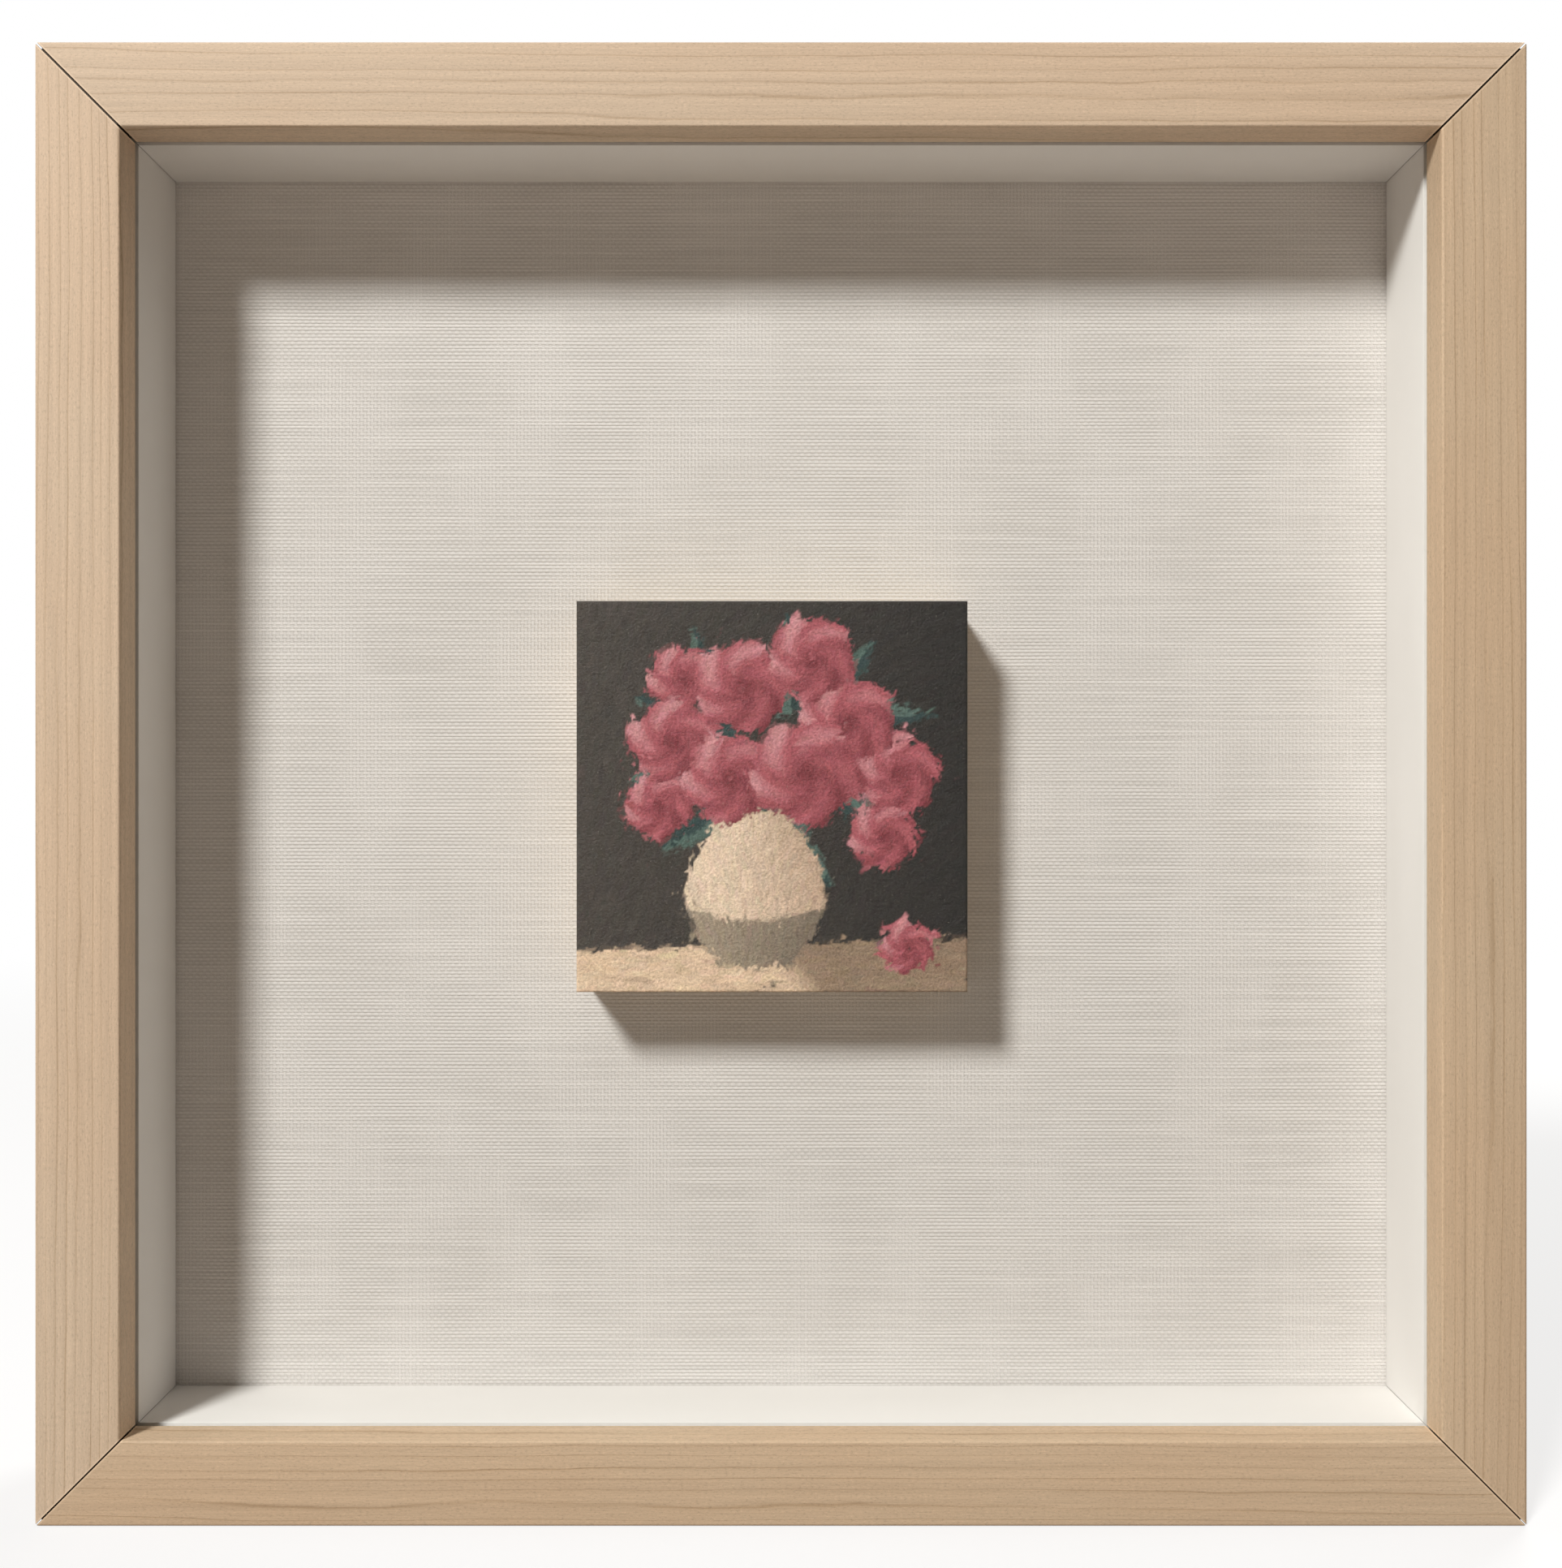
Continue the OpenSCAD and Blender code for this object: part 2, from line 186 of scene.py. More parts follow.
def wood_material(name, light, tint, rings):
    """Pale straight-grained softwood; the grain attribute is in metres along, across and through it."""
    sh = new_material(name)
    grain = sh.attribute("grain", "Vector")
    _, across, through = sh.split(grain)
    wander = sh.noise(sh.scaled(grain, (5, 30, 30)), detail=2)
    wave = sh.noise(sh.scaled(grain, (42, 160, 160)), detail=2)
    spread = sh.noise(sh.scaled(grain, (1.4, 190, 60)), detail=1)
    fibre = sh.noise(sh.scaled(grain, (90, 2600, 2600)), detail=3, roughness=0.6)
    ring = sh.math("ADD", sh.math("MULTIPLY", across, rings), sh.math("MULTIPLY", through, 82))
    for part, share in ((wander, 2.2), (wave, 0.34), (spread, 1.9), (fibre, 0.12)):
        ring = sh.math("ADD", ring, sh.math("MULTIPLY", part, share))
    stops = [(0.0, 0.06), (0.25, 0.0), (0.70, 0.08), (0.86, 0.26),
             (0.905, 0.95), (0.945, 1.0), (0.975, 0.30)]
    late = sh.ramp(sh.math("FRACT", ring), stops)
    depth = sh.noise(sh.scaled(grain, (9, 300, 110)), detail=2)
    late = sh.math("MULTIPLY", late, sh.remap(depth, 0.3, 0.68, 0.25, 1.0))
    streak = sh.noise(sh.scaled(grain, (7, 620, 620)), detail=2)
    fleck = sh.noise(sh.scaled(grain, (1000, 2400, 2400)), detail=2, roughness=0.7)
    cloud = sh.noise(sh.scaled(grain, (11, 26, 26)), detail=3)
    pale = tuple(c * tint for c in light)
    warm = (pale[0], pale[1] * 0.965, pale[2] * 0.94)
    dark = (pale[0] * 0.63, pale[1] * 0.56, pale[2] * 0.46)
    colour = sh.mix(sh.remap(cloud, 0.35, 0.68), pale, warm)
    colour = sh.mix(sh.math("MULTIPLY", late, 0.70), colour, dark)
    shade = sh.remap(streak, 0.3, 0.7, 0.955, 1.035)
    shade = sh.math("MULTIPLY", shade, sh.remap(fibre, 0.25, 0.75, 0.94, 1.05))
    shade = sh.math("MULTIPLY", shade, sh.remap(fleck, 0.32, 0.46, 0.83, 1.0))
    shade = sh.math("MULTIPLY", shade, sh.remap(fleck, 0.57, 0.70, 1.0, 1.13))
    colour = sh.mix(1.0, colour, shade, "MULTIPLY")
    joint = sh.attribute("joint", "Fac")
    # Painted highlight: a pale band 0.3 to 0.75 mm from each cut end, beside the mitre joint.
    painted_joint_highlight = tuple(min(1.0, c * 1.45) for c in pale)
    colour = sh.mix(sh.remap(joint, 0.30, 0.75, 0.60, 0.0), colour, painted_joint_highlight)
    colour = sh.mix(sh.remap(joint, 0.03, 0.13, 0.95, 0.0), colour, (0.035, 0.022, 0.012))
    height = sh.math("SUBTRACT", sh.math("MULTIPLY", fibre, 0.5), sh.math("MULTIPLY", late, 0.55))
    height = sh.math("ADD", height, sh.math("MULTIPLY", fleck, 0.5))
    normal = sh.bump(height, 0.06 * MM, 0.8)
    rough = sh.math("ADD", sh.math("MULTIPLY", late, -0.08), sh.remap(fibre, 0.2, 0.8, 0.62, 0.72))
    return sh.surface(Base_Color=colour, Roughness=rough, Normal=normal, Specular_IOR_Level=0.3)


def spacer_material():
    """Matt white faced board."""
    sh = new_material("spacer_white")
    where = sh.place()
    cloud = sh.noise(sh.scaled(where, (16, 60, 16)), detail=4)
    tooth = sh.noise(sh.scaled(where, (900, 1400, 900)), detail=3)
    colour = sh.mix(sh.remap(cloud, 0.3, 0.7), (0.790, 0.765, 0.738), (0.815, 0.790, 0.765))
    colour = sh.mix(1.0, colour, sh.remap(tooth, 0.2, 0.8, 0.982, 1.012), "MULTIPLY")
    return sh.surface(Base_Color=colour, Roughness=sh.remap(tooth, 0.2, 0.8, 0.74, 0.86),
                      Normal=sh.bump(tooth, 0.03 * MM, 0.5), Specular_IOR_Level=0.25)


THREAD = 0.94 * MM         # from one thread of the linen to the next


def linen_material():
    """Plain-weave linen: uneven threads over and under each other, the weft standing out in places."""
    sh = new_material("linen_weave")
    where = sh.place()
    x, _, z = sh.split(where)
    turn = math.pi / THREAD
    drift = sh.noise(sh.scaled(where, (9, 1, 90)), detail=2)
    drift_up = sh.noise(sh.scaled(where, (90, 1, 9)), detail=2)
    weft_turn = sh.math("ADD", sh.math("MULTIPLY", z, turn), sh.math("MULTIPLY", drift, 2.4))
    warp_turn = sh.math("ADD", sh.math("MULTIPLY", x, turn), sh.math("MULTIPLY", drift_up, 2.4))
    weft_wave, warp_wave = sh.math("SINE", weft_turn), sh.math("SINE", warp_turn)
    weft = sh.math("POWER", sh.math("ABSOLUTE", weft_wave), 0.6)
    warp = sh.math("POWER", sh.math("ABSOLUTE", warp_wave), 0.6)
    over = sh.math("MULTIPLY", sh.math("SIGN", weft_wave), sh.math("SIGN", warp_wave))
    over = sh.math("MULTIPLY", sh.math("ADD", over, 1.0), 0.16)
    thick = sh.noise(sh.scaled(where, (26, 1, 950)), detail=1)
    thick_up = sh.noise(sh.scaled(where, (950, 1, 30)), detail=1)
    ribbed = sh.noise(sh.scaled(where, (14, 1, 38)), detail=2)
    gridded = sh.noise(sh.scaled(where, (38, 1, 24), (4, 0, 9)), detail=2)
    weft_high = sh.math("ADD", sh.remap(ribbed, 0.38, 0.66, 0.55, 0.85),
                        sh.remap(thick, 0.35, 0.70, -0.06, 0.22))
    warp_high = sh.math("ADD", sh.remap(gridded, 0.40, 0.64, 0.45, 0.90),
                        sh.remap(thick_up, 0.35, 0.7, 0.0, 0.18))
    weft_top = sh.math("MULTIPLY", weft, sh.math("ADD", weft_high, over))
    warp_top = sh.math("MULTIPLY", warp, sh.math("SUBTRACT", warp_high, over))
    height = sh.math("MAXIMUM", weft_top, warp_top)
    fuzz = sh.noise(sh.scaled(where, (2600, 1, 2600)), detail=2)
    patch = sh.noise(sh.scaled(where, (9, 1, 12)), detail=3)
    slub = sh.remap(sh.noise(sh.scaled(where, (34, 1, 1250), (2, 0, 5)), detail=1), 0.66, 0.78)
    # Painted shade and highlight: the weave's hollows are darker and the thread tops lighter, following the
    # same height as the bump.
    colour = sh.mix(sh.remap(height, 0.1, 1.15), (0.600, 0.562, 0.532), (0.742, 0.705, 0.680))
    colour = sh.mix(sh.remap(patch, 0.35, 0.7, 0.0, 0.30), colour, (0.715, 0.676, 0.648))
    colour = sh.mix(sh.math("MULTIPLY", slub, 0.45), colour, (0.81, 0.775, 0.745))
    colour = sh.mix(1.0, colour, sh.remap(thick, 0.3, 0.72, 0.975, 1.03), "MULTIPLY")
    colour = sh.mix(1.0, colour, sh.remap(fuzz, 0.2, 0.8, 0.94, 1.06), "MULTIPLY")
    return sh.surface(Base_Color=colour, Roughness=sh.remap(fuzz, 0.2, 0.8, 0.82, 0.94),
                      Normal=sh.bump(height, 0.20 * MM, 0.75), Specular_IOR_Level=0.2, Sheen_Weight=0.12,
                      Sheen_Roughness=0.5)


def paint_material():
    """Brushed paint over gesso: the colour comes from the strokes laid on the mesh."""
    sh = new_material("brushed_paint")
    where = sh.place()
    strokes = sh.attribute("paint", "Color")
    tooth = sh.noise(sh.scaled(where, (1500, 900, 1500)), detail=3, roughness=0.65)
    pit = sh.noise(sh.scaled(where, (520, 400, 520)), detail=2)
    painted_glint_speck = sh.noise(sh.scaled(where, (2300, 900, 2300)), detail=1)
    colour = sh.mix(1.0, strokes, sh.remap(tooth, 0.2, 0.8, 0.72, 1.28), "MULTIPLY")
    # Painted highlight: small pale specks that stand for glints on the gritty paint.
    colour = sh.mix(sh.remap(painted_glint_speck, 0.68, 0.78, 0.0, 0.30), colour, (0.62, 0.56, 0.50))
    height = sh.math("ADD", tooth, sh.math("MULTIPLY", pit, 0.8))
    return sh.surface(Base_Color=colour, Roughness=sh.remap(tooth, 0.2, 0.8, 0.40, 0.62),
                      Normal=sh.bump(height, 0.30 * MM, 1.0), Specular_IOR_Level=0.18)


def glass_material():
    """Low-reflection glass, which lets lamps through."""
    sh = new_material("clear_glass")
    smear = sh.noise(sh.scaled(sh.place(), (30, 30, 18)), detail=3)
    clear = sh.node("BsdfTransparent", {"Color": (0.985, 0.992, 0.988, 1)})
    rough = sh.remap(smear, 0.3, 0.8, 0.03, 0.09)
    gloss = sh.node("BsdfGlossy", {"Color": (1, 1, 1, 1), "Roughness": rough})
    facing = sh.node("LayerWeight", {"Blend": 0.08}).outputs["Fresnel"]
    share = sh.math("MULTIPLY", facing, 0.35, clamp=True)
    return sh.show(sh.blend(share, clear, gloss))


def ply_material():
    """Birch plywood and strips: layered through the depth, with fine grain."""
    sh = new_material("birch_ply")
    where = sh.place()
    _, y, _ = sh.split(where)
    veneer = 1.4 * MM
    layer = sh.math("FRACT", sh.math("MULTIPLY", y, 1 / veneer))
    fibre = sh.noise(sh.scaled(where, (60, 1500, 900)), detail=3)
    stripe = sh.ramp(layer, [(0.0, 0.0), (0.45, 0.1), (0.52, 1.0), (0.96, 0.9), (1.0, 0.0)])
    colour = sh.mix(stripe, (0.66, 0.53, 0.36), (0.52, 0.385, 0.235))
    colour = sh.mix(1.0, colour, sh.remap(fibre, 0.2, 0.8, 0.86, 1.1), "MULTIPLY")
    return sh.surface(Base_Color=colour, Roughness=0.7, Normal=sh.bump(fibre, 0.05 * MM, 0.6))


def board_material(name, light, dark, grit):
    """Pressed or layered board: mottled, with short fibres."""
    sh = new_material(name)
    where = sh.place()
    mottle = sh.noise(sh.scaled(where, (120, 120, 120)), detail=5, roughness=0.65)
    fibre = sh.noise(sh.scaled(where, (grit, grit, grit * 0.35)), detail=4, roughness=0.7)
    other = sh.noise(sh.scaled(where, (grit * 0.35, grit, grit), (3, 1, 2)), detail=4, roughness=0.7)
    both = sh.math("MAXIMUM", fibre, other)
    worn = sh.noise(sh.scaled(where, (9, 9, 9)), detail=3)
    colour = sh.mix(sh.remap(mottle, 0.3, 0.7), light, dark)
    colour = sh.mix(sh.remap(both, 0.58, 0.74, 0.0, 0.55), colour, tuple(c * 0.62 for c in dark))
    colour = sh.mix(sh.remap(worn, 0.5, 0.75, 0.0, 0.3), colour, tuple(min(1, c * 1.25) for c in light))
    return sh.surface(Base_Color=colour, Roughness=sh.remap(mottle, 0.3, 0.7, 0.48, 0.66),
                      Normal=sh.bump(both, 0.05 * MM, 0.6), Specular_IOR_Level=0.35)


def metal_material(name, colour, roughness, brushed):
    """Plated steel: brushed one way, with faint stains and dulled spots."""
    sh = new_material(name)
    where = sh.place()
    brush = sh.noise(sh.scaled(where, brushed), detail=3)
    stain = sh.noise(sh.scaled(where, (260, 260, 260)), detail=4, roughness=0.6)
    dull = tuple(c * 0.72 for c in colour)
    base = sh.mix(sh.remap(stain, 0.42, 0.72), colour, dull)
    base = sh.mix(1.0, base, sh.remap(brush, 0.2, 0.8, 0.90, 1.06), "MULTIPLY")
    rough = sh.math("ADD", sh.remap(stain, 0.3, 0.75, roughness, roughness + 0.16),
                    sh.remap(brush, 0.2, 0.8, 0.0, 0.07))
    return sh.surface(Base_Color=base, Metallic=1.0, Roughness=rough, Normal=sh.bump(brush, 0.012 * MM, 0.5))


def rubber_material():
    """Soft dark bumper, with dust on it."""
    sh = new_material("bumper_rubber")
    where = sh.place()
    dust = sh.noise(sh.scaled(where, (700, 700, 700)), detail=4)
    grain = sh.noise(sh.scaled(where, (4200, 4200, 4200)), detail=2)
    colour = sh.mix(sh.remap(dust, 0.45, 0.8, 0.0, 0.5), (0.035, 0.033, 0.031), (0.15, 0.14, 0.13))
    return sh.surface(Base_Color=colour, Roughness=sh.remap(dust, 0.3, 0.7, 0.62, 0.8),
                      Normal=sh.bump(grain, 0.05 * MM, 0.5))


# Painted light: the top and left rails get a lighter copy of the wood colour and the right and bottom rails
# a darker one, for light falling off from the upper left.
WOOD_PAINTED_LIT = (0.610, 0.478, 0.345)
WOOD_PAINTED_SHADE = (0.565, 0.430, 0.292)
RAIL_WOOD = {
    "top": wood_material("rail_wood_top", WOOD_PAINTED_LIT, 0.96, 262),
    "left": wood_material("rail_wood_left", WOOD_PAINTED_LIT, 0.97, 400),
    "right": wood_material("rail_wood_right", WOOD_PAINTED_SHADE, 0.96, 380),
    "bottom": wood_material("rail_wood_bottom", WOOD_PAINTED_SHADE, 0.98, 340),
}
SPACER = spacer_material()
LINEN = linen_material()
PAINT = paint_material()
GLASS = glass_material()
PLY = ply_material()
MUSEUM_BOARD = board_material("museum_board", (0.80, 0.77, 0.70), (0.74, 0.70, 0.62), 1500)
CORRUGATED = board_material("corrugated_board", (0.50, 0.38, 0.25), (0.43, 0.32, 0.20), 900)
HARDBOARD = board_material("hardboard", (0.222, 0.130, 0.070), (0.190, 0.106, 0.054), 1300)
ZINC = metal_material("zinc_plate", (0.445, 0.452, 0.462), 0.34, (300, 300, 2600))
STEEL = metal_material("screw_steel", (0.40, 0.39, 0.37), 0.28, (900, 900, 900))
NICKEL = metal_material("nickel_plate", (0.500, 0.465, 0.410), 0.22, (1500, 300, 300))
RUBBER = rubber_material()


# ---------- meshes ----------

def add_piece(name, points, faces, material, body, nodes, smooth_angle=35.0):
    """Makes a mesh piece that rides on a body and stands for CAD nodes."""
    mesh = bpy.data.meshes.new(name)
    mesh.from_pydata([tuple(p) for p in points], [], faces)
    made = bmesh.new()
    made.from_mesh(mesh)
    bmesh.ops.remove_doubles(made, verts=made.verts, dist=1e-7)
    bmesh.ops.dissolve_degenerate(made, edges=made.edges, dist=1e-8)
    bmesh.ops.recalc_face_normals(made, faces=made.faces)
    limit = math.radians(smooth_angle)
    for face in made.faces:
        face.smooth = True
    for edge in made.edges:
        edge.smooth = len(edge.link_faces) == 2 and edge.calc_face_angle(0.0) < limit
    made.to_mesh(mesh)
    made.free()
    piece = bpy.data.objects.new(name, mesh)
    bpy.context.scene.collection.objects.link(piece)
    mesh.materials.append(material)
    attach(piece, body)
    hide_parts(*nodes)
    return piece


def band(rows, closed=True, wrap=False):
    """Faces between rows of equally many points.

    closed joins each row's ends, wrap joins the last row to the first.
    """
    count, width = len(rows), len(rows[0])
    faces = []
    for i in range(count if wrap else count - 1):
        for j in range(width if closed else width - 1):
            a, b = i * width + j, i * width + (j + 1) % width
            c, d = ((i + 1) % count) * width + (j + 1) % width, ((i + 1) % count) * width + j
            faces.append((a, b, c, d))
    return faces


def capped_band(rows):
    """Faces between closed rows, with the first and the last row filled."""
    width, total = len(rows[0]), len(rows) * len(rows[0])
    return band(rows) + [tuple(range(width)), tuple(range(total - width, total))[::-1]]


def grid_rim(rows, cols):
    """The places along the rim of a grid of points, once round."""
    rim = [(0, j) for j in range(cols)] + [(i, cols - 1) for i in range(1, rows)]
    rim += [(rows - 1, j) for j in range(cols - 2, -1, -1)] + [(i, 0) for i in range(rows - 2, 0, -1)]
    return rim


def skirt(loop, fresh):
    """Faces between two closed loops of equally many point numbers."""
    pairs = list(zip(loop, fresh))
    return [(a, c, d, b) for (a, b), (c, d) in zip(pairs, pairs[1:] + pairs[:1])]


def full_turn(count):
    """Evenly spaced angles, once round."""
    return [2 * math.pi * k / count for k in range(count)]


def rounded_outline(corners, radii, steps):
    """A closed outline with an arc of the given radius at each corner, as 2D points."""
    points = []
    for i, (corner, radius) in enumerate(zip(corners, radii)):
        here = Vector(corner)
        back = (Vector(corners[i - 1]) - here).normalized()
        ahead = (Vector(corners[(i + 1) % len(corners)]) - here).normalized()
        if radius == 0:
            points.append(here)
            continue
        centre = here + (back + ahead) * radius
        for k in range(steps + 1):
            turn = math.pi / 2 * k / steps
            points.append(centre - ahead * radius * math.cos(turn) - back * radius * math.sin(turn))
    return points


def nearest_on(outline, point):
    """The point of a closed outline that is nearest to a point."""
    best = None
    for a, b in zip(outline, outline[1:] + outline[:1]):
        a, b = Vector(a), Vector(b)
        t = max(0.0, min(1.0, (point - a).dot(b - a) / (b - a).length_squared))
        at = a + (b - a) * t
        if best is None or (at - point).length < (best - point).length:
            best = at
    return best


def grow_outline(points, distance):
    """Moves each point of a closed outline along its normal, inwards when distance is positive."""
    moved = []
    for i, point in enumerate(points):
        along = (points[(i + 1) % len(points)] - points[i - 1]).normalized()
        moved.append(point + Vector((-along.y, along.x)) * distance)
    return moved


# ---------- the rails ----------

def rail_section():
    """Corners of a rail's section, as depth and distance from the outer edge, and the radius of each."""
    corners = [(Y_FRONT, 0), (Y_BACK, 0), (Y_BACK, WALL_W),
               (Y_GLASS, WALL_W), (Y_GLASS, FACE_W), (Y_FRONT, FACE_W)]
    radii = [ARRIS_R, ARRIS_R, 0.3 * MM, 0, 0.08 * MM, SIGHT_R]
    return corners, radii


def inset_corners(edge):
    """The section's corners moved inwards by the same distance on every side."""
    return [
        (Y_FRONT + edge, edge), (Y_BACK - edge, edge), (Y_BACK - edge, WALL_W - edge),
        (Y_GLASS - edge, WALL_W - edge), (Y_GLASS - edge, FACE_W - edge), (Y_FRONT + edge, FACE_W - edge),
    ]


def round_corner(u, v, offset, half):
    """Pulls a point near the frame's corner onto its rounded outline."""
    centre = Vector((half - ARRIS_R, ARRIS_R))
    side = 1 if u > 0 else -1
    out = Vector((abs(u), v)) - centre
    reach = ARRIS_R - offset
    if out.x > 0 and out.y < 0 and out.length > reach:
        out = out.normalized() * reach
        return side * (centre.x + out.x), centre.y + out.y
    return u, v


def make_rail(side, gap, seed):
    """A mitred rail: the joint is open by a hair near the surface and closed behind it."""
    corners, radii = rail_section()
    section = rounded_outline(corners, radii, 7)
    ease, open_depth = 0.12 * MM, 1.2 * MM
    chamfered = grow_outline(section, ease)
    core = [nearest_on(inset_corners(open_depth), p) for p in section]
    half = half_length(side)
    near_end = [0.12, 0.22, 0.34, 0.48, 0.64, 0.84, 1.2, 2.5, 5.0]    # from the cut end, in mm
    steps = 60
    rows = []

    def add_row(outline, place_u):
        row = []
        for (y, v), (_, rim) in zip(outline, section):
            u, v = round_corner(place_u(v), v, min(rim, ARRIS_R), half)
            row.append((u, y, v))
        rows.append(row)

    def end_rows(sign):
        made = [(core, lambda v: sign * (half - v)), (core, lambda v: sign * (half - v - gap)),
                (chamfered, lambda v: sign * (half - v - gap))]
        for d in near_end:
            made.append((section, lambda v, d=d: sign * (half - v - gap - d * MM)))
        return made

    for outline, place_u in end_rows(-1):
        add_row(outline, place_u)
    last = near_end[-1] * MM
    for k in range(1, steps):
        share = 2 * k / steps - 1
        add_row(section, lambda v, share=share: share * (half - v - gap - last))
    for outline, place_u in reversed(end_rows(1)):
        add_row(outline, place_u)
    points = [side_point(side, *p) for row in rows for p in row]
    wood = RAIL_WOOD[side]
    faces = capped_band(rows)
    piece = add_piece("wood_rail_" + side, points, faces, wood, "frame", ["rail_" + side])
    store_grain(piece, side, gap, seed)


def store_grain(piece, side, gap, seed):
    """Gives every point its place in its board, in metres, and its distance from the cut end, in mm."""
    mesh = piece.data
    co = np.zeros(len(mesh.vertices) * 3)
    mesh.vertices.foreach_get("co", co)
    co = co.reshape(-1, 3)
    x, z = co[:, 0] - MID.x, co[:, 2] - MID.z
    along, inward, half = {
        "bottom": (x, z, HALF_H), "left": (-z, x, HALF_W), "top": (-x, -z, HALF_H), "right": (z, -x, HALF_W),
    }[side]
    board = [along + 1.7 * seed, inward + half + 0.31 * seed, co[:, 1] - Y_FRONT + 0.13 * seed]
    grain = np.stack(board, axis=1)
    layer = mesh.attributes.new("grain", "FLOAT_VECTOR", "POINT")
    layer.data.foreach_set("vector", grain.ravel())
    from_end = (half_length(side) - (inward + half) - np.abs(along) - gap) / MM
    layer = mesh.attributes.new("joint", "FLOAT", "POINT")
    layer.data.foreach_set("value", from_end)


JOINT_GAP = {"bottom": 0.14, "left": 0.28, "top": 0.32, "right": 0.22}    # how far a rail stops short, in mm

for number, side in enumerate(SIDES, start=1):
    make_rail(side, JOINT_GAP[side] * MM, number)


# ---------- spacers ----------

def make_spacer(side):
    """A mitred white strip with a slight softening along its edges."""
    v0, v1 = FACE_W - SPACER_T, FACE_W
    corners = [(SPACER_LO.y, v0), (SPACER_HI.y, v0), (SPACER_HI.y, v1), (SPACER_LO.y, v1)]
    edge_r, linen_edge_r = 0.15 * MM, 0.80 * MM
    section = rounded_outline(corners, [edge_r, edge_r, linen_edge_r, edge_r], 3)
    eased = grow_outline(section, 0.05 * MM)
    half = half_length(side)
    gap = 0.05 * MM
    rows = []
    spots = [(-1, 0.0, eased), (-1, 0.06, section), (-1, 0.5, section)]
    spots += [(share, None, section) for share in np.linspace(-0.96, 0.96, 25)]
    spots += [(1, 0.5, section), (1, 0.06, section), (1, 0.0, eased)]
    for share, back, outline in spots:
        row = []
        for y, v in outline:
            end = half - v - gap
            u = share * end if back is None else share * (end - back * MM)
            row.append((u, y, v))
        rows.append(row)
    points = [side_point(side, *p) for row in rows for p in row]
    nodes = ["spacer_" + side]
    add_piece("white_spacer_" + side, points, capped_band(rows), SPACER, "frame", nodes)


for side in SIDES:
    make_spacer(side)


# ---------- linen ----------

def smooth_field(shape, cells, rng):
    """Random values between 0 and 1 that change smoothly over a grid."""
    coarse = rng.random((cells[0] + 3, cells[1] + 3))
    rows = np.linspace(0, cells[0], shape[0])
    cols = np.linspace(0, cells[1], shape[1])
    i, j = rows.astype(int), cols.astype(int)
    a, b = rows - i, cols - j
    a, b = (a * a * (3 - 2 * a))[:, None], (b * b * (3 - 2 * b))[None, :]
    c00, c01 = coarse[np.ix_(i, j)], coarse[np.ix_(i, j + 1)]
    c10, c11 = coarse[np.ix_(i + 1, j)], coarse[np.ix_(i + 1, j + 1)]
    return (c00 * (1 - a) + c10 * a) * (1 - b) + (c01 * (1 - a) + c11 * a) * b


HEM = 16 * MM              # width of the linen turned over behind the board


def make_linen():
    """One cloth: its woven front, wrapped round the board's edges and turned over behind."""
    rng = np.random.default_rng(11)
    rows, cols = 560, 130
    z = np.linspace(LINEN_LO.z, LINEN_HI.z, rows)
    x = np.linspace(LINEN_LO.x, LINEN_HI.x, cols)
    slubs = smooth_field((rows, cols), (420, 16), rng) ** 3
    swell = smooth_field((rows, cols), (9, 9), rng)
    relief = 0.04 * MM + 0.05 * MM * (1 - slubs) + 0.02 * MM * swell
    grid = np.zeros((rows, cols, 3))
    grid[..., 0], grid[..., 2] = x[None, :], z[:, None]
    grid[..., 1] = LINEN_LO.y + relief
    points = grid.reshape(-1, 3).tolist()
    faces = band(grid, closed=False)
    rim = grid_rim(rows, cols)
    loop = [i * cols + j for i, j in rim]
    thick, soft = LINEN_HI.y - LINEN_LO.y, 0.4 * MM
    for inset, depth in ((0.0, 0.5 * MM), (0.0, thick - soft), (soft, thick), (HEM, thick)):
        fresh = []
        for i, j in rim:
            px = min(max(x[j], LINEN_LO.x + inset), LINEN_HI.x - inset)
            pz = min(max(z[i], LINEN_LO.z + inset), LINEN_HI.z - inset)
            fresh.append(len(points))
            points.append((px, LINEN_LO.y + depth, pz))
        faces += skirt(loop, fresh)
        loop = fresh
    piece = add_piece("linen_cloth", points, faces, LINEN, "frame", ["linen_cover"], 60)


make_linen()


# ---------- the painted panel ----------

PANEL_LO, PANEL_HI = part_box("painted_ground")
CANVAS = 310               # cells along each side of the painted surface


def srgb(r, g, b):
    """Linear colour of an 8-bit one."""
    c = np.array([r, g, b]) / 255
    return np.where(c <= 0.04045, c / 12.92, ((c + 0.055) / 1.055) ** 2.4)


def blend_in(base, colour, mask):
    """Covers a colour with another where the mask is 1."""
    return base * (1 - mask[..., None]) + colour * mask[..., None]


def between(one, other, share):
    """The colour a share of the way from one to the other, for each cell."""
    return one + (other - one) * share[..., None]


def soft_step(value, edge, width):
    """0 below an edge and 1 above it, with a smooth change of the given width."""
    t = np.clip((value - edge) / width + 0.5, 0, 1)
    return t * t * (3 - 2 * t)


